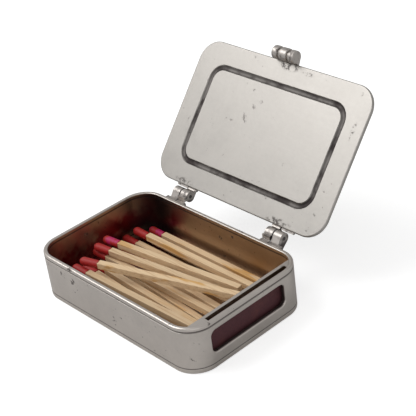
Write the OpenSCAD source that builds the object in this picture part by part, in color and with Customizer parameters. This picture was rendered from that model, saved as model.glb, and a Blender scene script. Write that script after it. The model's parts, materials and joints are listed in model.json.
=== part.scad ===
// Pocket box for matches: a cast and soldered pewter box with a hinged lid,
// and a striker strip that slides down behind a window in one end wall.
// Origin at the centre of the underside, +Z up, +X towards the window end,
// +Y towards the hinges. The lid is drawn open, as it rests.

/* [Box] */
// Length of the box
body_l = 70; // [64:1:90]
// Width of the box
body_w = 45; // [40:1:60]
// Height of the box to its rim
body_h = 15.4; // [14.5:0.1:20]
// Outer radius of the upright corners
corner_r = 8; // [6:0.5:10]
// Thickness of the wall
wall_t = 1.3; // [1.1:0.1:1.6]
// Thickness of the base plate
base_t = 1.6; // [1.2:0.1:2]
// Rounding of the rim's outer edge
rim_r = 0.6; // [0.3:0.1:0.7]
// Height of the scored line below the rim
score_drop = 1.1; // [0.9:0.1:2]

/* [Striker] */
// Width of the window in the end wall
window_w = 28.4; // [20:0.1:30]
// Height of the window
window_h = 7.3; // [5:0.1:7.5]
// Lower edge of the window above the underside
window_low = 4.9; // [4:0.1:5.2]
// Distance of the window's middle from the box's middle
window_shift = -0.8; // [-2:0.1:1]
// Corner radius of the window
window_r = 1.8; // [1:0.1:2.4]
// Thickness of the partition in front of the strip
partition_t = 1.2; // [0.8:0.1:1.6]
// Width of the slot behind the partition
slot_t = 1.5; // [1.2:0.1:2]
// Length of the slot
slot_l = 31; // [29:0.5:32]
// Distance of the slot's middle from the box's middle
slot_shift = 1.2; // [0.5:0.1:1.5]
// Thickness of the striker strip
strip_t = 0.6; // [0.4:0.1:0.9]
// Height of the strip
strip_h = 11.6; // [10.8:0.1:11.8]

/* [Lid] */
// Length of the lid
lid_l = 71; // [65:1:91]
// Depth of the lid
lid_w = 46.6; // [41.6:0.2:61.6]
// Thickness of the lid
lid_t = 1.2; // [1:0.1:1.6]
// Corner radius of the lid
lid_r = 7; // [5:0.5:9]
// How far the lid's back edge stands past the box
lid_back = 1.05; // [0.8:0.05:1.2]
// Length of the sunk line on the lid, between its middles
line_l = 54.7; // [40:0.1:58]
// Depth of the sunk line's frame
line_w = 31.5; // [20:0.1:34]
// Width of the sunk line
line_t = 1.9; // [1:0.1:2.4]
// How deep the line is sunk
line_deep = 0.55; // [0.3:0.05:0.6]
// Angle between the closed and the open lid
open_angle = 129.6; // [100:0.2:130]

/* [Hinges] */
// Distance of each hinge's middle from the box's middle
hinge_x = 20.2; // [16:0.1:22]
// Length of a hinge barrel
hinge_l = 6.4; // [5:0.1:8]
// Radius of the hinge barrel
knuckle_r = 1.8; // [1.6:0.05:2]
// Diameter of the hinge pin
pin_d = 1.2; // [0.9:0.1:1.5]
// Radial clearance of the pin
pin_gap = 0.03; // [0.02:0.01:0.06]
// Gap between the two halves of a barrel
knuckle_gap = 0.2; // [0.15:0.05:0.4]
// Width of the plates soldered to the box and the lid
leaf_w = 8.6; // [7:0.1:10]
// Thickness of the plate on the box
foot_t = 1.1; // [0.8:0.1:1.4]

/* [Thumb lift] */
// Length of the ringed barrel
lift_l = 8.8; // [7:0.1:12]
// Radius of its rings
lift_r = 2.1; // [1.6:0.1:2.1]
// Width of the two grooves
lift_groove = 0.75; // [0.5:0.05:1]

/* [Matches] */
// Side of a square stick
stick_t = 2.05; // [1.8:0.05:2.1]
// Length of a match with its head
match_l = 54; // [50:0.2:54]
// Length of the head
head_l = 6.6; // [4:0.2:8]
// Largest diameter of the head
head_d = 2.7; // [2.4:0.05:2.72]

/* [Hidden] */
$fn = 48;
lid_gap = 0.05;
play = 0.1;
inner_l = body_l - 2*wall_t;
inner_w = body_w - 2*wall_t;
inner_r = corner_r - wall_t;
inner_x = inner_l/2;
partition_x = inner_x - slot_t - partition_t;
hinge_y = body_w/2 + 3.75;
hinge_z = body_h + 0.35;
lid_low = body_h + lid_gap;
lid_top = lid_low + lid_t;
lid_back_y = body_w/2 + lid_back;
lid_mid_y = lid_back_y - lid_w/2;
lid_front_y = lid_back_y - lid_w;
half_barrel = (hinge_l - knuckle_gap)/2;
foot_y = body_w/2 + foot_t;
heel_reach = hinge_y - foot_y - 0.05;

// One match a row: x and y of the tip, turn of the stick, layer in the pile
matches = [
    [-29.8, 18.2, 0, 0], [-30.7, 14.5, 0, 0], [-33, 9.8, 0, 0], [-23.5, 5.3, 0, 0],
    [-28, -1.3, -5, 0], [-29, -9.5, 0, 0], [-28, -14.5, 0, 0], [-27, -18.5, 0, 0],
    [-30, 12.2, 0.4, 1], [-24, 1.7, -3, 1], [-31.4, -3.3, 0, 1], [-25.9, -7.8, -2.5, 1],
    [-27, -10.9, -3.5, 1], [-30.3, 0.4, 7.3, 2], [-29.4, -4, 8, 2], [-25.7, -15.3, 2, 2],
    [-23, -14.2, 17.5, 3]
];
layer_step = head_d + 0.1;
first_layer_z = base_t + head_d/2 + 0.08;

fixed_nodes = ["body_wall", "base_plate", "striker_partition", "striker_strip",
    "body_hinge_leaf_left", "body_hinge_leaf_right", "hinge_pin_left", "hinge_pin_right",
    "lid_plate", "lid_hinge_leaf_left", "lid_hinge_leaf_right", "thumb_lift"];

// Runs a profile round a rectangle with round corners; its x points outwards
module around(l, w, r) {
    for (k = [0, 1]) rotate(180*k) {
        translate([-(l/2 - r), w/2, 0]) rotate([90, 0, 90]) linear_extrude(l - 2*r) children();
        translate([l/2, w/2 - r, 0]) rotate([90, 0, 0]) linear_extrude(w - 2*r) children();
        translate([l/2 - r, w/2 - r, 0]) rotate_extrude(angle = 90) translate([r, 0]) children();
        translate([-(l/2 - r), w/2 - r, 0]) rotate(90)
            rotate_extrude(angle = 90) translate([r, 0]) children();
    }
}

// Rectangle with round corners, for plates and openings
module rounded(l, w, r) {
    square([l - 2*r, w], center = true);
    square([l, w - 2*r], center = true);
    for (x = [-1, 1], y = [-1, 1]) translate([x*(l/2 - r), y*(w/2 - r)]) circle(r);
}

// Section through the wall, with its scored line below the rim
module wall_profile() {
    lip = 0.3;
    difference() {
        union() {
            translate([-wall_t, base_t]) square([wall_t, body_h - rim_r - base_t]);
            translate([-wall_t + lip, base_t]) square([wall_t - lip - rim_r, body_h - base_t]);
            translate([-wall_t, base_t]) square([lip, body_h - lip - base_t]);
            translate([-wall_t + lip, body_h - lip]) circle(lip);
            translate([-rim_r, body_h - rim_r]) circle(rim_r);
        }
        translate([0.1, body_h - score_drop - 0.2]) circle(0.3);
    }
}

module body_wall() {
    lip = 0.4;
    color("silver") {
        difference() {
            around(body_l, body_w, corner_r) wall_profile();
            translate([body_l/2, window_shift, window_low + window_h/2]) rotate([90, 0, 90]) {
                translate([0, 0, -2*wall_t]) linear_extrude(3*wall_t)
                    rounded(window_w, window_h, window_r);
                translate([0, 0, -lip]) linear_extrude(wall_t)
                    rounded(window_w + 2*lip, window_h + 2*lip, window_r + lip);
            }
        }
        translate([body_l/2, window_shift, window_low + window_h/2]) rotate([90, 0, 90])
            around(window_w, window_h, window_r) translate([lip, -lip]) circle(lip);
    }
}

module base_plate() {
    low = 0.5;
    high = 0.12;
    color("silver") {
        around(body_l, body_w, corner_r) {
            translate([-corner_r, 0]) square([corner_r - low, base_t]);
            translate([-low, low]) square([low, base_t - low - high]);
            translate([-low, base_t - high]) square([low - high, high]);
            translate([-low, low]) circle(low);
            translate([-high, base_t - high]) circle(high);
        }
        translate([0, 0, base_t/2])
            cube([body_l - 2*corner_r, body_w - 2*corner_r, base_t], center = true);
    }
}

module striker_partition() {
    top = body_h - 0.2;
    soft = 0.25;
    color("silver") difference() {
        intersection() {
            translate([0, 0, base_t]) linear_extrude(top - base_t)
                rounded(inner_l - play, inner_w - play, inner_r - play/2);
            union() {
                translate([partition_x, -body_w/2, 0]) cube([body_l/2, body_w, top - soft]);
                translate([partition_x + soft, -body_w/2, 0]) cube([body_l/2, body_w, top]);
                translate([partition_x + soft, 0, top - soft]) rotate([90, 0, 0])
                    cylinder(body_w, r = soft, center = true);
            }
        }
        translate([inner_x - slot_t, slot_shift - slot_l/2, base_t - 1])
            cube([2*slot_t, slot_l, body_h]);
    }
}

module striker_strip() {
    color("maroon") translate([inner_x - slot_t + play, slot_shift - slot_l/2 + play, base_t])
        cube([strip_t, slot_l - 2*play, strip_h]);
}

// Half of a hinge barrel with its bore, from x to x + half_barrel
module knuckle(x) {
    translate([x, hinge_y, hinge_z]) rotate([0, 90, 0]) cylinder(half_barrel, r = knuckle_r);
}
module pin_bore() {
    translate([0, hinge_y, hinge_z]) rotate([0, 90, 0])
        cylinder(4*hinge_x, r = pin_d/2 + pin_gap, center = true);
}
outer_knuckle_x = hinge_x + knuckle_gap/2;
inner_knuckle_x = hinge_x - hinge_l/2;

// The fixed leaf, drawn for the +X side
module body_leaf() {
    foot_low = body_h - 5;
    foot_high = body_h - 0.35;
    soft = 0.5;
    mid_x = hinge_x + 0.6;
    color("silver") difference() {
        union() {
            translate([mid_x, foot_y - foot_t/2, (foot_low + foot_high)/2]) rotate([90, 0, 0])
                linear_extrude(foot_t, center = true)
                    rounded(leaf_w, foot_high - foot_low, soft);
            knuckle(outer_knuckle_x);
            translate([outer_knuckle_x, 0, 0]) rotate([90, 0, 90]) linear_extrude(half_barrel)
                polygon([[foot_y - 0.2, foot_high - 0.1], [foot_y, foot_high], [hinge_y - 1.3, hinge_z + 1.25],
                    [hinge_y + 1.8, hinge_z], [hinge_y + 1.2, hinge_z - 1.35],
                    [foot_y + 1.9, foot_low + 2.3], [foot_y, foot_low + 0.2], [foot_y - 0.2, foot_low + 0.2]]);
        }
        pin_bore();
    }
}

// The moving leaf, drawn closed for the +X side, with the heel that stops the lid
module lid_leaf() {
    plate_t = hinge_z + knuckle_r - lid_top;
    reach = 0.7;
    plate_deep = 5.75;
    mid_x = hinge_x + 0.6;
    heel_a = open_angle + 180;
    color("silver") difference() {
        union() {
            translate([mid_x, lid_back_y + reach - plate_deep/2, lid_top])
                linear_extrude(plate_t) rounded(leaf_w, plate_deep, 0.5);
            knuckle(inner_knuckle_x);
            translate([inner_knuckle_x, 0, 0]) rotate([90, 0, 90]) linear_extrude(half_barrel)
                polygon([[lid_back_y + reach - 1, lid_top], [lid_back_y + reach, lid_top - 0.2],
                    [hinge_y - 1.4, hinge_z - 0.2], [hinge_y, hinge_z],
                    [hinge_y, hinge_z + knuckle_r], [lid_back_y + reach - 1, hinge_z + knuckle_r]]);
            translate([inner_knuckle_x, hinge_y, hinge_z]) rotate([heel_a, 0, 0])
                translate([0, 0, -0.7]) cube([half_barrel, heel_reach, 1.4]);
        }
        pin_bore();
    }
}

module hinge_pin() {
    color("gray") translate([inner_knuckle_x, hinge_y, hinge_z]) rotate([0, 90, 0])
        cylinder(hinge_l, d = pin_d);
}

// Turns what is drawn closed to its open place
module opened() {
    translate([0, hinge_y, hinge_z]) rotate([-open_angle, 0, 0]) translate([0, -hinge_y, -hinge_z])
        children();
}

module lid_edge() {
    soft = 0.4;
    deep = lid_r;
    translate([-deep, 0]) square([deep - soft, lid_t]);
    translate([-soft, soft]) square([soft, lid_t - 2*soft]);
    for (z = [soft, lid_t - soft]) translate([-soft, z]) circle(soft);
}

module lid_shape() {
    line_r = (line_t*line_t/4 + line_deep*line_deep)/(2*line_deep);
    translate([0, lid_mid_y, lid_low]) difference() {
        union() {
            around(lid_l, lid_w, lid_r) lid_edge();
            translate([0, 0, lid_t/2]) cube([lid_l - 2*lid_r, lid_w - 2*lid_r, lid_t], center = true);
        }
        around(line_l, line_w, 4.5) translate([0, line_deep - line_r]) circle(line_r);
    }
}

module lid_plate() {
    color("silver") opened() lid_shape();
}

// Three rings round a core, ahead of the lid's front edge and soldered to it
module thumb_lift() {
    axis_y = lid_front_y - 1.75;
    axis_z = lid_low - 1.5;
    soft = 0.4;
    core_r = lift_r - 0.6;
    ring_w = [2.15, lift_l - 4.3 - 2*lift_groove, 2.15];
    ring_x = [0, 2.15 + lift_groove, lift_l - 2.15];
    color("silver") opened() difference() {
        translate([-0.5 - lift_l/2, axis_y, axis_z]) rotate([0, 90, 0]) {
            cylinder(lift_l, r = core_r);
            for (i = [0:2]) translate([0, 0, ring_x[i]]) rotate_extrude() {
                square([lift_r - soft, ring_w[i]]);
                translate([0, soft]) square([lift_r, ring_w[i] - 2*soft]);
                for (z = [soft, ring_w[i] - soft]) translate([lift_r - soft, z]) circle(soft);
            }
            for (i = [0:2]) translate([0, 0, ring_x[i] + 0.15]) linear_extrude(ring_w[i] - 0.3)
                polygon([[-1.82, -1.05], [-lid_t - 1.35, 1.75], [-1.9, 1.75], [0, 1.2], [0.5, 0]]);
        }
    }
}

module place_match(i) {
    m = matches[i];
    translate([m[0], m[1], first_layer_z + m[3]*layer_step]) rotate(m[2]) children();
}

module match_stick(i) {
    color("burlywood") place_match(i)
        translate([head_l, -stick_t/2, -stick_t/2]) cube([match_l - head_l, stick_t, stick_t]);
}

// Bullet-shaped head, fullest near its tip
module match_head(i) {
    tip_r = 0.75;
    color("firebrick") place_match(i) rotate([0, 90, 0]) rotate_extrude() intersection() {
        union() {
            translate([0, head_d/2]) circle(head_d/2);
            polygon([[0, 1], [head_d/2, head_d/2], [stick_t/2 + 0.2, head_l], [0, head_l]]);
            translate([0, 0.12]) square([tip_r, 1]);
        }
        square([head_d, head_l]);
    }
}

body_wall();
base_plate();
striker_partition();
striker_strip();
mirror([1, 0, 0]) body_leaf();  // body_hinge_leaf_left
body_leaf();  // body_hinge_leaf_right
mirror([1, 0, 0]) hinge_pin();  // hinge_pin_left
hinge_pin();  // hinge_pin_right
lid_plate();
opened() mirror([1, 0, 0]) lid_leaf();  // lid_hinge_leaf_left
opened() lid_leaf();  // lid_hinge_leaf_right
thumb_lift();
for (i = [0:len(matches) - 1]) {
    match_stick(i);
    match_head(i);
}
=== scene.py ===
"""A pocket pewter box for matches: the finish of every surface, the stage and the camera."""

import json
import math

import bpy
from mathutils import Matrix, Vector


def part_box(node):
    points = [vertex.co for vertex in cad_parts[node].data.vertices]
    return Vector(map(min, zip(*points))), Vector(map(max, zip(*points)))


bl_info = {
    "name": "Pewter Match Box",
    "version": (1, 0, 0),
    "blender": (4, 5, 0),
    "location": "View3D > Sidebar > Match Box",
    "description": "Finishes the box, its lid, striker strip and matches",
    "category": "Object",
}

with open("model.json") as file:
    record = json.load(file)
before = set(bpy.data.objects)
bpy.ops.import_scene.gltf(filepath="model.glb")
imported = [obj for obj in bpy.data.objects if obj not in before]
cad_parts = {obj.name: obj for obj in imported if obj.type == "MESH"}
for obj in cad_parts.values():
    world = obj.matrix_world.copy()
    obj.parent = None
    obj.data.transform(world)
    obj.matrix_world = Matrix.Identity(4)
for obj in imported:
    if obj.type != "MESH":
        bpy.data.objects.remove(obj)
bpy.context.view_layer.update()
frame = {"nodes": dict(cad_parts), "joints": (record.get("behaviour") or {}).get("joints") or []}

# Sizes of the box, in metres
WALL_LOW, WALL_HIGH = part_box("body_wall")
BODY_L = WALL_HIGH.x - WALL_LOW.x
BODY_W = WALL_HIGH.y - WALL_LOW.y
BODY_H = WALL_HIGH.z
BASE_T = WALL_LOW.z
END_X = WALL_HIGH.x
CORNER_R = 0.008
SCORE_DROP = 0.0013

# The hinge, the closed place of the lid and the line sunk in it
LID_JOINT = next(joint for joint in frame["joints"] if joint["name"] == "lid_hinge")
HINGE = Vector(LID_JOINT["pos_m"])
OPEN_ANGLE = math.radians(LID_JOINT["range_deg"][1])
HINGE_X = 0.0202
LID_MID_Y = 0.00025
LID_GAP = 0.00005
LINE_L = 0.0547
LINE_W = 0.0315
LINE_T = 0.0019
LINE_R = 0.0045


class MatchBoxSettings(bpy.types.PropertyGroup):
    """Colours and sizes that a user would change."""

    pewter: bpy.props.FloatVectorProperty(
        name="Pewter", description="Colour of the box's metal", subtype="COLOR", size=3,
        default=(0.575, 0.53, 0.49), min=0, max=1)
    lid: bpy.props.FloatVectorProperty(
        name="Lid", description="Colour of the lid's metal", subtype="COLOR", size=3,
        default=(0.41, 0.39, 0.365), min=0, max=1)
    fittings: bpy.props.FloatVectorProperty(
        name="Fittings", description="Colour of the hinges and the thumb lift", subtype="COLOR", size=3,
        default=(0.50, 0.465, 0.435), min=0, max=1)
    pins: bpy.props.FloatVectorProperty(
        name="Pins", description="Colour of the hinge pins", subtype="COLOR", size=3,
        default=(0.12, 0.11, 0.11), min=0, max=1)
    patina_and_shade: bpy.props.FloatVectorProperty(
        name="Patina", description="Colour of the dark in lines and joints", subtype="COLOR", size=3,
        default=(0.045, 0.036, 0.036), min=0, max=1)
    tarnish_and_reflection: bpy.props.FloatVectorProperty(
        name="Tarnish", description="Colour of the metal inside the box", subtype="COLOR", size=3,
        default=(0.46, 0.345, 0.25), min=0, max=1)
    strip: bpy.props.FloatVectorProperty(
        name="Strip", description="Colour of the striker strip", subtype="COLOR", size=3,
        default=(0.085, 0.022, 0.028), min=0, max=1)
    wood: bpy.props.FloatVectorProperty(
        name="Wood", description="Colour of the match sticks", subtype="COLOR", size=3,
        default=(0.74, 0.545, 0.335), min=0, max=1)
    head: bpy.props.FloatVectorProperty(
        name="Head", description="Colour of the match heads", subtype="COLOR", size=3,
        default=(0.40, 0.014, 0.012), min=0, max=1)
    stick_edge: bpy.props.FloatProperty(
        name="Stick edge", description="Width of the softened edges of a stick", unit="LENGTH",
        default=0.00016, min=0.0)
    floor_size: bpy.props.FloatProperty(
        name="Floor", description="Side of the floor", subtype="DISTANCE", unit="LENGTH",
        default=6.0, min=1.0)


def settings():
    return bpy.context.scene.match_box


def colour(rgb):
    return (rgb[0], rgb[1], rgb[2], 1.0)


class Nodes:
    """Short calls that add nodes to one tree."""

    def __init__(self, tree):
        self.tree = tree

    def add(self, kind, **values):
        node = self.tree.nodes.new(kind)
        for name, value in values.items():
            setattr(node, name, value)
        return node

    def link(self, a, b):
        self.tree.links.new(a, b)

    def put(self, socket, value):
        if isinstance(value, bpy.types.NodeSocket):
            self.link(value, socket)
        else:
            socket.default_value = value

    def math(self, operation, a, b=0.0, c=0.0):
        node = self.add("ShaderNodeMath", operation=operation)
        for socket, value in zip(node.inputs, (a, b, c)):
            self.put(socket, value)
        return node.outputs[0]

    def chain(self, operation, *values):
        """One value from several, by the same operation from left to right."""
        result = values[0]
        for value in values[1:]:
            result = self.math(operation, result, value)
        return result

    def vector(self, operation, a, b):
        node = self.add("ShaderNodeVectorMath", operation=operation)
        self.link(a, node.inputs[0])
        node.inputs[1].default_value = b
        return node.outputs[0]

    def split(self, vector):
        node = self.add("ShaderNodeSeparateXYZ")
        self.link(vector, node.inputs[0])
        return node.outputs

    def noise(self, vector, scale=1.0, detail=3.0, roughness=0.55):
        node = self.add("ShaderNodeTexNoise")
        self.link(vector, node.inputs["Vector"])
        node.inputs["Scale"].default_value = scale
        node.inputs["Detail"].default_value = detail
        node.inputs["Roughness"].default_value = roughness
        return node.outputs["Fac"]

    def band(self, value, low, high, to_low, to_high):
        """Smooth step from one value at low to another at high."""
        node = self.add("ShaderNodeMapRange", interpolation_type="SMOOTHSTEP")
        self.put(node.inputs["Value"], value)
        for name, number in (("From Min", low), ("From Max", high), ("To Min", to_low), ("To Max", to_high)):
            node.inputs[name].default_value = number
        return node.outputs["Result"]

    def rise(self, value, low, high, most=1.0):
        return self.band(value, low, high, 0.0, most)

    def fall(self, value, low, high, most=1.0):
        return self.band(value, low, high, most, 0.0)

    def mix(self, factor, a, b):
        """Mix of two colours; 6, 7 and 2 are the places of a Mix node's colour sockets."""
        node = self.add("ShaderNodeMix", data_type="RGBA", blend_type="MIX")
        self.put(node.inputs[0], factor)
        self.put(node.inputs[6], a)
        self.put(node.inputs[7], b)
        return node.outputs[2]

    def diagonal(self, x, y):
        """Length of the diagonal over x and y."""
        squares = self.math("ADD", self.math("MULTIPLY", x, x), self.math("MULTIPLY", y, y))
        return self.math("SQRT", squares)

    def outside(self, x, y, length, width, radius):
        """Distance outside a rectangle with round corners; negative inside it."""
        past_x = self.math("SUBTRACT", self.math("ABSOLUTE", x), length / 2 - radius)
        past_y = self.math("SUBTRACT", self.math("ABSOLUTE", y), width / 2 - radius)
        corner = self.diagonal(self.math("MAXIMUM", past_x, 0.0), self.math("MAXIMUM", past_y, 0.0))
        near = self.math("MINIMUM", self.math("MAXIMUM", past_x, past_y), 0.0)
        return self.math("SUBTRACT", self.math("ADD", corner, near), radius)


def new_material(name):
    material = bpy.data.materials.new(name)
    material.use_nodes = True
    n = Nodes(material.node_tree)
    shader = material.node_tree.nodes["Principled BSDF"]
    where = n.add("ShaderNodeTexCoord").outputs["Object"]
    return material, n, shader, where


def raise_surface(n, shader, height, strength, distance):
    """Gives a surface the relief of a height mask; distance is in metres."""
    bump = n.add("ShaderNodeBump")
    bump.inputs["Strength"].default_value = strength
    bump.inputs["Distance"].default_value = distance
    n.link(height, bump.inputs["Height"])
    n.link(bump.outputs["Normal"], shader.inputs["Normal"])


# Worn metal: noise scales in waves per metre, and how much each noise changes
WORN_SOCKETS = (
    ("Vector", "INPUT", "NodeSocketVector"),
    ("Color", "INPUT", "NodeSocketColor"),
    ("Dark", "INPUT", "NodeSocketColor"),
    ("Pits", "INPUT", "NodeSocketFloat"),
    ("Roughness", "INPUT", "NodeSocketFloat"),
    ("Color", "OUTPUT", "NodeSocketColor"),
    ("Roughness", "OUTPUT", "NodeSocketFloat"),
    ("Height", "OUTPUT", "NodeSocketFloat"),
)
CLOUD_SCALE = 90.0
CLOUD_TONE = 0.34
CLOUD_ROUGHNESS = 0.22
CLOUD_HEIGHT = 0.8
FINE_SCALE = 900.0
FINE_TONE = 0.10
FINE_HEIGHT = 0.25
SCRATCH_SCALES = (60.0, 900.0, 900.0)
SCRATCH_HEIGHT = 0.25
PIT_SCALE = 420.0
PIT_AREA_SCALE = 70.0
PIT_AREA_GAIN = 0.35
PIT_AREA_SHIFT = -0.10
PIT_EDGE = (0.74, 0.81)
PIT_SHADE = 0.75
PIT_ROUGHNESS = 0.3


def worn_metal_group():
    """Pits, scratches and cloudy tone of cast pewter, from Object coordinates."""
    group = bpy.data.node_groups.get("worn_metal")
    if group:
        return group
    group = bpy.data.node_groups.new("worn_metal", "ShaderNodeTree")
    for name, way, kind in WORN_SOCKETS:
        group.interface.new_socket(name, in_out=way, socket_type=kind)
    n = Nodes(group)
    given = n.add("NodeGroupInput").outputs
    out = n.add("NodeGroupOutput").inputs
    where = given["Vector"]
    cloud = n.noise(where, CLOUD_SCALE, detail=4.0)
    fine = n.noise(where, FINE_SCALE)
    scratch = n.noise(n.vector("MULTIPLY", where, SCRATCH_SCALES), detail=2.0)
    pit_area = n.noise(where, PIT_AREA_SCALE, detail=2.0)
    pit_area = n.math("MULTIPLY_ADD", pit_area, PIT_AREA_GAIN, PIT_AREA_SHIFT)
    pit = n.math("ADD", n.noise(where, PIT_SCALE, detail=4.0, roughness=0.65), pit_area)
    pit = n.math("MULTIPLY", n.rise(pit, *PIT_EDGE), given["Pits"])
    tone = n.math("MULTIPLY_ADD", cloud, CLOUD_TONE, 1 - CLOUD_TONE / 2)
    tone = n.math("MULTIPLY_ADD", fine, FINE_TONE, n.math("SUBTRACT", tone, FINE_TONE / 2))
    toned = n.add("ShaderNodeVectorMath", operation="SCALE")
    n.link(given["Color"], toned.inputs[0])
    n.link(tone, toned.inputs["Scale"])
    n.link(n.mix(n.math("MULTIPLY", pit, PIT_SHADE), toned.outputs[0], given["Dark"]), out["Color"])
    rough = n.math("SUBTRACT", given["Roughness"], CLOUD_ROUGHNESS / 2)
    rough = n.math("MULTIPLY_ADD", cloud, CLOUD_ROUGHNESS, rough)
    n.link(n.math("MULTIPLY_ADD", pit, PIT_ROUGHNESS, rough), out["Roughness"])
    height = n.math("MULTIPLY_ADD", scratch, SCRATCH_HEIGHT, n.math("MULTIPLY", fine, FINE_HEIGHT))
    height = n.math("MULTIPLY_ADD", cloud, CLOUD_HEIGHT, height)
    n.link(n.math("SUBTRACT", height, pit), out["Height"])
    return group


# Pewter: roughness of its two finishes and of the pins, the roughness that patina and painted shade add, and
# its relief
SATIN = 0.36
DULL = 0.42
PIN_ROUGHNESS = 0.5
PATINA_ROUGHNESS = 0.25
PEWTER_BUMP = 0.35
PEWTER_RELIEF = 0.00008


def pewter(name, base, rough, pits=1.0, dark_where=None, tone_where=None):
    """Pewter; dark_where gives a mask of patina and painted shade, and tone_where a mask and the colour in
    it, such as tarnish with painted reflection and shade.
    """
    material, n, shader, where = new_material(name)
    patina_and_shade = colour(settings().patina_and_shade)
    worn = n.add("ShaderNodeGroup", node_tree=worn_metal_group())
    n.link(where, worn.inputs["Vector"])
    worn.inputs["Dark"].default_value = patina_and_shade
    worn.inputs["Pits"].default_value = pits
    worn.inputs["Roughness"].default_value = rough
    if tone_where:
        mask, other = tone_where(n, where)
        n.link(n.mix(mask, colour(base), other), worn.inputs["Color"])
    else:
        worn.inputs["Color"].default_value = colour(base)
    shade = worn.outputs["Color"]
    roughness = worn.outputs["Roughness"]
    # patina in hollows and joints, and painted shade, both in the patina's colour
    if dark_where:
        mask = dark_where(n, where)
        shade = n.mix(mask, shade, patina_and_shade)
        roughness = n.math("MULTIPLY_ADD", mask, PATINA_ROUGHNESS, roughness)
    n.link(shade, shader.inputs["Base Color"])
    n.link(roughness, shader.inputs["Roughness"])
    shader.inputs["Metallic"].default_value = 1.0
    raise_surface(n, shader, worn.outputs["Height"], PEWTER_BUMP, PEWTER_RELIEF)
    return material


# Dark on the wall, with painted shade in the window's jambs: where each mark starts and ends its fade, in
# metres, and how dark it is
SCORE_FADE = (0.00012, 0.0004)
SCORE_SHADE = 0.75
SEAM_FADE = (BASE_T + 0.0001, BASE_T + 0.0005)
SEAM_SHADE = 0.8
JAMB_INNER = (END_X - 0.0014, END_X - 0.0012)
JAMB_OUTER = (END_X - 0.0007, END_X - 0.0004)
JAMB_SIDE = (0.0150, 0.0156)
JAMB_TOP = (BODY_H - 0.0028, BODY_H - 0.0024)
JAMB_SHADE = 0.9


def wall_dark(n, where):
    """Dark in the scored line and along the base seam, and painted shade in the window's jambs."""
    x, y, z = n.split(where)
    from_score = n.math("ABSOLUTE", n.math("SUBTRACT", z, BODY_H - SCORE_DROP))
    score = n.fall(from_score, *SCORE_FADE, SCORE_SHADE)
    seam = n.fall(z, *SEAM_FADE, SEAM_SHADE)
    # painted shade on the faces of the window's opening, inside the wall's thickness
    depth = n.math("MULTIPLY", n.rise(x, *JAMB_INNER), n.fall(x, *JAMB_OUTER))
    side = n.fall(n.math("ABSOLUTE", y), *JAMB_SIDE)
    level = n.fall(z, *JAMB_TOP, JAMB_SHADE)
    painted_jamb_shade = n.chain("MULTIPLY", depth, side, level)
    return n.chain("MAXIMUM", score, seam, painted_jamb_shade)


# Tint inside the box, partly tarnish and partly painted reflection of the sticks: how far it reaches, red
# near the heads that is partly stain and partly painted reflection of them, and painted shade in the rear
# corner
INNER_FACE = (-0.0012, -0.0009)
INNER_TOP = (BODY_H - 0.0006, BODY_H - 0.0002)
RED_PATCH_SCALE = 110.0
RED_PATCH_EDGE = (0.40, 0.58)
RED_PATCH_ALONG = (-0.024, -0.010)
RED_PATCH_HEIGHT = (0.008, 0.014)
RED_PATCH_AT_TOP = 0.25
RED_STAIN_AND_REFLECTION = (0.26, 0.040, 0.045)
CORNER_ALONG = (-0.026, -0.017)
CORNER_ACROSS = (0.010, 0.019)
CORNER_SHADE = 0.8
CORNER_PAINTED_SHADE = (0.045, 0.038, 0.042)


def wall_inside(n, where):
    """Tint on the inner faces: brown, partly tarnish and partly painted reflection of the sticks, with red
    near the match heads, partly stain and partly painted reflection of them, and painted shade in the rear
    corner.
    """
    x, y, z = n.split(where)
    inside = n.fall(n.outside(x, y, BODY_L, BODY_W, CORNER_R), *INNER_FACE)
    inside = n.math("MULTIPLY", inside, n.fall(z, *INNER_TOP))
    # red near the match heads, strongest low down: partly stain and partly painted reflection of the heads
    patch = n.rise(n.noise(where, RED_PATCH_SCALE), *RED_PATCH_EDGE)
    lower = n.band(z, *RED_PATCH_HEIGHT, 1.0, RED_PATCH_AT_TOP)
    stain = n.chain("MULTIPLY", n.fall(x, *RED_PATCH_ALONG), patch, lower)
    # brown inside: partly tarnish and partly painted reflection of the sticks
    shade = n.mix(stain, colour(settings().tarnish_and_reflection), colour(RED_STAIN_AND_REFLECTION))
    # painted shade in the rear inner corner at the heads' end
    corner = n.math("MULTIPLY", n.fall(x, *CORNER_ALONG), n.rise(y, *CORNER_ACROSS))
    shade = n.mix(n.math("MULTIPLY", corner, CORNER_SHADE), shade, colour(CORNER_PAINTED_SHADE))
    return inside, shade


# Dark on the lid: the sunk line, rubbed here and there, and the smudges of soldering; a smudge
# is its place along and across the closed lid, then its half length and half depth, in metres
LINE_FADE = (LINE_T / 2 - 0.00035, LINE_T / 2 + 0.0001)
LINE_WANDER_SCALE = 260.0
LINE_WANDER = 0.0006
RUBBED_SCALE = 160.0
RUBBED_EDGE = (0.35, 0.62)
RUBBED_SHADES = (0.95, 0.62)
INNER_SIDE = (0.0006, 0.0008)
SMUDGE_SCALE = 700.0
SMUDGE_EDGE = (0.47, 0.60)
SMUDGE_FADE = (0.35, 1.0)
SMUDGE_SHADE = 0.75
SMUDGES = (
    (0.001, -0.0222, 0.0055, 0.0018),
    (0.019, 0.0222, 0.0065, 0.0014),
    (-0.022, 0.0222, 0.0050, 0.0013),
    (0.0320, -0.0100, 0.0009, 0.0035),
    (0.0090, -0.0215, 0.0030, 0.0008),
)


def lid_place(n, where):
    """Place on the lid as if it were closed: along it, across it and through it."""
    x, y, z = n.split(n.vector("SUBTRACT", where, HINGE))
    c = math.cos(OPEN_ANGLE)
    s = math.sin(OPEN_ANGLE)
    across = n.math("SUBTRACT", n.math("MULTIPLY", y, c), n.math("MULTIPLY", z, s))
    through = n.math("ADD", n.math("MULTIPLY", y, s), n.math("MULTIPLY", z, c))
    across = n.math("ADD", across, HINGE.y - LID_MID_Y)
    through = n.math("ADD", through, HINGE.z - (BODY_H + LID_GAP))
    return x, across, through


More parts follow.
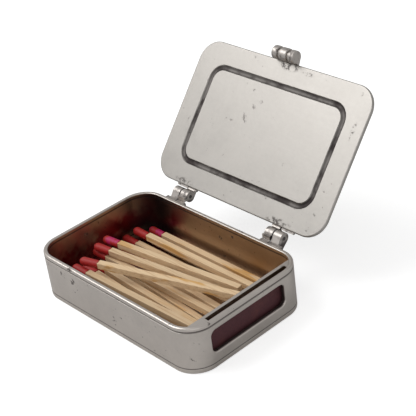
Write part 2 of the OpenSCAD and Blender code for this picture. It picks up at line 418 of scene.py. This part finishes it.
def lid_dark(n, where):
    """Patina in the sunk line, with smudges where parts are soldered, on the inner face only."""
    x, across, through = lid_place(n, where)
    from_line = n.math("ABSOLUTE", n.outside(x, across, LINE_L, LINE_W, LINE_R))
    wander = n.math("MULTIPLY_ADD", n.noise(where, LINE_WANDER_SCALE), LINE_WANDER, -LINE_WANDER / 2)
    line = n.fall(n.math("ADD", from_line, wander), *LINE_FADE)
    rubbed = n.band(n.noise(where, RUBBED_SCALE, detail=4.0), *RUBBED_EDGE, *RUBBED_SHADES)
    mark = n.math("MULTIPLY", line, rubbed)
    broken = n.rise(n.noise(where, SMUDGE_SCALE, detail=4.0, roughness=0.7), *SMUDGE_EDGE, SMUDGE_SHADE)
    for along, deep, half_length, half_depth in SMUDGES:
        dx = n.math("DIVIDE", n.math("SUBTRACT", x, along), half_length)
        dy = n.math("DIVIDE", n.math("SUBTRACT", across, deep), half_depth)
        smudge = n.math("MULTIPLY", n.fall(n.diagonal(dx, dy), *SMUDGE_FADE), broken)
        mark = n.math("MAXIMUM", mark, smudge)
    return n.math("MULTIPLY", mark, n.fall(through, *INNER_SIDE))


# Dark on the fittings: between the knuckles, painted shade low on the plates, and in stains
KNUCKLE_FADE = (0.0001, 0.0004)
KNUCKLE_SHADE = 0.9
LOW_FADE = (BODY_H - 0.0019, BODY_H - 0.0004)
LOW_SHADE = 0.8
LOW_WANDER_SCALE = 600.0
LOW_WANDER = 0.0012
JOINT_STAIN_SCALE = 520.0
JOINT_STAIN_EDGE = (0.50, 0.70)
JOINT_STAIN = 0.65


def joint_dark(n, where):
    """Dark in the joints of the small fittings and stains at random, with painted shade low on the plates.
    """
    x, _, z = n.split(where)
    from_joint = n.math("ABSOLUTE", n.math("SUBTRACT", n.math("ABSOLUTE", x), HINGE_X))
    knuckle = n.fall(from_joint, *KNUCKLE_FADE, KNUCKLE_SHADE)
    # painted shade on the lower parts of the hinge plates, below the knuckles
    wander = n.math("MULTIPLY", n.noise(where, LOW_WANDER_SCALE), LOW_WANDER)
    low = n.fall(n.math("SUBTRACT", z, wander), *LOW_FADE, LOW_SHADE)
    stain = n.rise(n.noise(where, JOINT_STAIN_SCALE, detail=4.0), *JOINT_STAIN_EDGE, JOINT_STAIN)
    return n.chain("MAXIMUM", knuckle, low, stain)


# Striker strip: a fine grit, with paler wear in clouds
GRIT_SCALE = 2600.0
GRIT_EDGE = (0.35, 0.7)
GRIT_SHADE = 0.35
GRIT_DARK = (0.02, 0.008, 0.010)
GRIT_BUMP = 0.5
GRIT_RELIEF = 0.00008
STRIP_ROUGHNESS = 0.75
WEAR_SCALE = 160.0
WEAR_EDGE = (0.45, 0.75)
WEAR_SHADE = 0.35
WEAR_PALE = (0.16, 0.045, 0.035)


def strip_material():
    """Matt maroon compound with grit and wear."""
    material, n, shader, where = new_material("striker_maroon")
    grit = n.noise(where, GRIT_SCALE)
    wear = n.rise(n.noise(where, WEAR_SCALE), *WEAR_EDGE, WEAR_SHADE)
    tone = n.mix(wear, colour(settings().strip), colour(WEAR_PALE))
    tone = n.mix(n.rise(grit, *GRIT_EDGE, GRIT_SHADE), tone, colour(GRIT_DARK))
    n.link(tone, shader.inputs["Base Color"])
    shader.inputs["Roughness"].default_value = STRIP_ROUGHNESS
    raise_surface(n, shader, grit, GRIT_BUMP, GRIT_RELIEF)
    return material


# Match wood: noise scales along and across the stick, and its kinds; each kind has its own part of
# the noises, is lighter than the one before and has more resin
GRAIN_SCALES = (60.0, 1900.0, 1900.0)
GRAIN_EDGE = (0.45, 0.72)
GRAIN_SHADE = 0.5
GRAIN_BROWN = (0.42, 0.22, 0.085)
RESIN_SCALES = (45.0, 260.0, 260.0)
RESIN_EDGE = (0.56, 0.66)
RESIN_ORANGE = (0.62, 0.33, 0.085)
FIBRE_SCALES = (200.0, 5200.0, 5200.0)
FIBRE_EDGE = (0.55, 0.8)
FIBRE_SHADE = 0.35
FIBRE_PALE = (0.86, 0.70, 0.47)
FIBRE_BUMP = 0.4
FIBRE_RELIEF = 0.00006
WOOD_ROUGHNESS = 0.62
WOOD_KINDS = 4
WOOD_LEAP = 3
WOOD_SHIFT = Vector((0.013, 0.029, 0.017))
WOOD_DARKEST = 0.92
WOOD_LIGHTER = 0.05
RESIN_LEAST = 0.25
RESIN_MORE = 0.2


def wood_material(kind):
    """Pale softwood with fine grain along the stick and a few orange stains."""
    material, n, shader, where = new_material("match_wood_" + str(kind))
    where = n.vector("ADD", where, WOOD_SHIFT * kind)
    grain = n.noise(n.vector("MULTIPLY", where, GRAIN_SCALES), detail=4.0, roughness=0.6)
    fibre = n.noise(n.vector("MULTIPLY", where, FIBRE_SCALES), detail=2.0)
    resin = n.noise(n.vector("MULTIPLY", where, RESIN_SCALES), detail=2.0)
    lightness = WOOD_DARKEST + WOOD_LIGHTER * kind
    base = colour([min(1.0, part * lightness) for part in settings().wood])
    tone = n.mix(n.rise(grain, *GRAIN_EDGE, GRAIN_SHADE), base, colour(GRAIN_BROWN))
    tone = n.mix(n.rise(resin, *RESIN_EDGE, RESIN_LEAST + RESIN_MORE * kind), tone, colour(RESIN_ORANGE))
    tone = n.mix(n.rise(fibre, *FIBRE_EDGE, FIBRE_SHADE), tone, colour(FIBRE_PALE))
    n.link(tone, shader.inputs["Base Color"])
    shader.inputs["Roughness"].default_value = WOOD_ROUGHNESS
    raise_surface(n, shader, fibre, FIBRE_BUMP, FIBRE_RELIEF)
    return material


# Match heads: a grainy compound, with a painted pink highlight in patches on the matches numbered in
# PINK_HEADS
HEAD_GRAIN_SCALE = 1500.0
HEAD_GRAIN_EDGE = (0.4, 0.7)
HEAD_GRAIN_SHADE = 0.4
HEAD_DARK = (0.28, 0.010, 0.008)
HEAD_BUMP = 0.5
HEAD_RELIEF = 0.0001
HEAD_ROUGHNESS = 0.55
HIGHLIGHT_PATCH_SCALE = 260.0
HIGHLIGHT_PATCH_EDGE = (0.52, 0.60)
PAINTED_HIGHLIGHT_PINK = (0.46, 0.012, 0.11)
PAINTED_HIGHLIGHT_STRENGTH = 0.9
PINK_HEADS = (1, 14)


def head_material(name, pink_highlight):
    """Matt red compound; the second argument is how strong its painted pink highlight is."""
    material, n, shader, where = new_material(name)
    grain = n.noise(where, HEAD_GRAIN_SCALE)
    # painted highlight: pink patches stand in for the lit, overexposed tops of some heads
    painted_highlight = n.rise(n.noise(where, HIGHLIGHT_PATCH_SCALE, detail=2.0), *HIGHLIGHT_PATCH_EDGE, pink_highlight)
    tone = n.rise(grain, *HEAD_GRAIN_EDGE, HEAD_GRAIN_SHADE)
    tone = n.mix(tone, colour(settings().head), colour(HEAD_DARK))
    n.link(n.mix(painted_highlight, tone, colour(PAINTED_HIGHLIGHT_PINK)), shader.inputs["Base Color"])
    shader.inputs["Roughness"].default_value = HEAD_ROUGHNESS
    raise_surface(n, shader, grain, HEAD_BUMP, HEAD_RELIEF)
    return material


def dress(node, material):
    """Gives a node that keeps its mesh a new finish."""
    piece = frame["nodes"][node]
    if not piece.material_slots:
        piece.data.materials.append(material)
    for place in piece.material_slots:
        place.material = material


# Softened edges: doubles closer than this are merged first, and only edges sharper than this are cut
WELD_DISTANCE = 0.000001
EDGE_SEGMENTS = 2
EDGE_ANGLE = math.radians(50)


def soften(node, width):
    """Takes the razor edge off a node with modifiers, leaving its mesh as it is."""
    piece = frame["nodes"][node]
    weld = piece.modifiers.new("weld", "WELD")
    weld.merge_threshold = WELD_DISTANCE
    bevel = piece.modifiers.new("soft_edges", "BEVEL")
    bevel.width = width
    bevel.segments = EDGE_SEGMENTS
    bevel.limit_method = "ANGLE"
    bevel.angle_limit = EDGE_ANGLE


class MATCHBOX_OT_box(bpy.types.Operator):
    """Finishes the wall, the base and the partition"""

    bl_idname = "matchbox.box"
    bl_label = "Box"

    def execute(self, context):
        base = settings().pewter
        dress("body_wall", pewter("pewter_wall", base, SATIN, dark_where=wall_dark, tone_where=wall_inside))
        dress("base_plate", pewter("pewter_base", base, DULL, tone_where=wall_inside))
        dress("striker_partition", pewter("pewter_partition", base, SATIN, pits=0.6, tone_where=wall_inside))
        return {"FINISHED"}


class MATCHBOX_OT_lid(bpy.types.Operator):
    """Finishes the lid, its hinges and its thumb lift"""

    bl_idname = "matchbox.lid"
    bl_label = "Lid and hinges"

    def execute(self, context):
        dress("lid_plate", pewter("pewter_lid", settings().lid, DULL, pits=0.5, dark_where=lid_dark))
        fitting = pewter("pewter_fittings", settings().fittings, DULL, dark_where=joint_dark)
        for side in ("left", "right"):
            dress("body_hinge_leaf_" + side, fitting)
            dress("lid_hinge_leaf_" + side, fitting)
            dress("hinge_pin_" + side, pewter("pin_" + side, settings().pins, PIN_ROUGHNESS))
        dress("thumb_lift", fitting)
        return {"FINISHED"}


class MATCHBOX_OT_strip(bpy.types.Operator):
    """Finishes the striker strip"""

    bl_idname = "matchbox.strip"
    bl_label = "Striker strip"

    def execute(self, context):
        dress("striker_strip", strip_material())
        return {"FINISHED"}


class MATCHBOX_OT_matches(bpy.types.Operator):
    """Finishes the match sticks and heads"""

    bl_idname = "matchbox.matches"
    bl_label = "Matches"

    def execute(self, context):
        woods = [wood_material(kind) for kind in range(WOOD_KINDS)]
        red = head_material("match_red", 0.0)
        # heads with a painted pink highlight
        pink_highlight = head_material("match_pink", PAINTED_HIGHLIGHT_STRENGTH)
        count = sum(1 for name in frame["nodes"] if name.startswith("match_stick_"))
        for i in range(1, count + 1):
            dress("match_stick_" + str(i), woods[i * WOOD_LEAP % WOOD_KINDS])
            soften("match_stick_" + str(i), settings().stick_edge)
            dress("match_head_" + str(i), pink_highlight if i in PINK_HEADS else red)
        return {"FINISHED"}


# Stage: how bright the floor and the world are, with 1 as white, and the lamps in metres and watts
FLOOR_GREY = (0.66, 0.66, 0.66)
FLOOR_ROUGHNESS = 0.9
FLOOR_GLOW = 0.60
WORLD_LIGHT = 0.55
WHITE = (1.0, 1.0, 1.0)
LAMPS = (
    ("key_lamp", Vector((-0.45, -0.35, 0.75)), 0.6, 4.0),
    ("fill_lamp", Vector((0.75, -0.55, 0.45)), 0.7, 0.9),
)

# Camera: its turn round the box, lift and roll in degrees, and its distance and target in metres
CAMERA_TURN = 50.48
CAMERA_LIFT = 31.09
CAMERA_ROLL = -7.81
CAMERA_DISTANCE = 0.37365
CAMERA_TARGET = Vector((-0.0149, 0.03096, 0.010))
SENSOR_WIDTH = 36.0
FOCAL_LENGTH = 101.96
CLIP_START = 0.01


class MATCHBOX_OT_stage(bpy.types.Operator):
    """Adds the floor, the lamps, the world and the camera"""

    bl_idname = "matchbox.stage"
    bl_label = "Stage"

    def execute(self, context):
        self.floor(context)
        self.world(context)
        self.lamps(context)
        self.camera(context)
        return {"FINISHED"}

    def floor(self, context):
        bpy.ops.object.select_all(action="DESELECT")
        bpy.ops.mesh.primitive_plane_add(size=settings().floor_size, location=(0, 0, 0))
        floor = context.object
        floor.name = "floor"
        material = bpy.data.materials.new("floor_white")
        material.use_nodes = True
        n = Nodes(material.node_tree)
        shader = material.node_tree.nodes["Principled BSDF"]
        shader.inputs["Base Color"].default_value = colour(FLOOR_GREY)
        shader.inputs["Roughness"].default_value = FLOOR_ROUGHNESS
        shader.inputs["Specular IOR Level"].default_value = 0.0
        shader.inputs["Emission Color"].default_value = colour(WHITE)
        ray = n.add("ShaderNodeLightPath")
        glow = n.math("MULTIPLY", ray.outputs["Is Camera Ray"], FLOOR_GLOW)
        n.link(glow, shader.inputs["Emission Strength"])
        floor.data.materials.append(material)

    def world(self, context):
        world = bpy.data.worlds.new("studio")
        world.use_nodes = True
        context.scene.world = world
        n = Nodes(world.node_tree)
        ground = world.node_tree.nodes["Background"]
        ray = n.add("ShaderNodeLightPath")
        ground.inputs["Color"].default_value = colour(WHITE)
        strength = n.math("MULTIPLY_ADD", ray.outputs["Is Camera Ray"], 1 - WORLD_LIGHT, WORLD_LIGHT)
        n.link(strength, ground.inputs["Strength"])

    def lamps(self, context):
        for name, place, size, power in LAMPS:
            lamp = bpy.data.lights.new(name, "AREA")
            lamp.size = size
            lamp.energy = power
            holder = bpy.data.objects.new(name, lamp)
            context.scene.collection.objects.link(holder)
            holder.location = place
            holder.rotation_euler = (-place).to_track_quat("-Z", "Y").to_euler()

    def camera(self, context):
        turn, lift, roll = (math.radians(angle) for angle in (CAMERA_TURN, CAMERA_LIFT, CAMERA_ROLL))
        back = Vector((math.sin(turn) * math.cos(lift), -math.cos(turn) * math.cos(lift), math.sin(lift)))
        right = Vector((math.cos(turn), math.sin(turn), 0.0))
        up = back.cross(right)
        right_rolled = math.cos(roll) * right + math.sin(roll) * up
        up_rolled = math.cos(roll) * up - math.sin(roll) * right
        lens = bpy.data.cameras.new("camera")
        lens.sensor_width = SENSOR_WIDTH
        lens.lens = FOCAL_LENGTH
        lens.clip_start = CLIP_START
        camera = bpy.data.objects.new("camera", lens)
        context.scene.collection.objects.link(camera)
        turned = Matrix((right_rolled, up_rolled, back)).transposed().to_4x4()
        camera.matrix_world = Matrix.Translation(CAMERA_TARGET + back * CAMERA_DISTANCE) @ turned
        context.scene.camera = camera
        context.scene.view_settings.view_transform = "Standard"


class MATCHBOX_PT_panel(bpy.types.Panel):
    """Lists the settings and the pieces of the box"""

    bl_label = "Match Box"
    bl_idname = "MATCHBOX_PT_panel"
    bl_space_type = "VIEW_3D"
    bl_region_type = "UI"
    bl_category = "Match Box"

    def draw(self, context):
        column = self.layout.column()
        for name in MatchBoxSettings.__annotations__:
            column.prop(context.scene.match_box, name)
        for operator in OPERATORS:
            column.operator(operator.bl_idname)


OPERATORS = (MATCHBOX_OT_stage, MATCHBOX_OT_box, MATCHBOX_OT_lid, MATCHBOX_OT_strip, MATCHBOX_OT_matches)
CLASSES = (MatchBoxSettings,) + OPERATORS + (MATCHBOX_PT_panel,)


def register():
    for item in CLASSES:
        bpy.utils.register_class(item)
    bpy.types.Scene.match_box = bpy.props.PointerProperty(type=MatchBoxSettings)


def unregister():
    del bpy.types.Scene.match_box
    for item in reversed(CLASSES):
        bpy.utils.unregister_class(item)


def main():
    register()
    bpy.ops.matchbox.stage()
    bpy.ops.matchbox.box()
    bpy.ops.matchbox.lid()
    bpy.ops.matchbox.strip()
    bpy.ops.matchbox.matches()


if __name__ == "__main__":
    main()
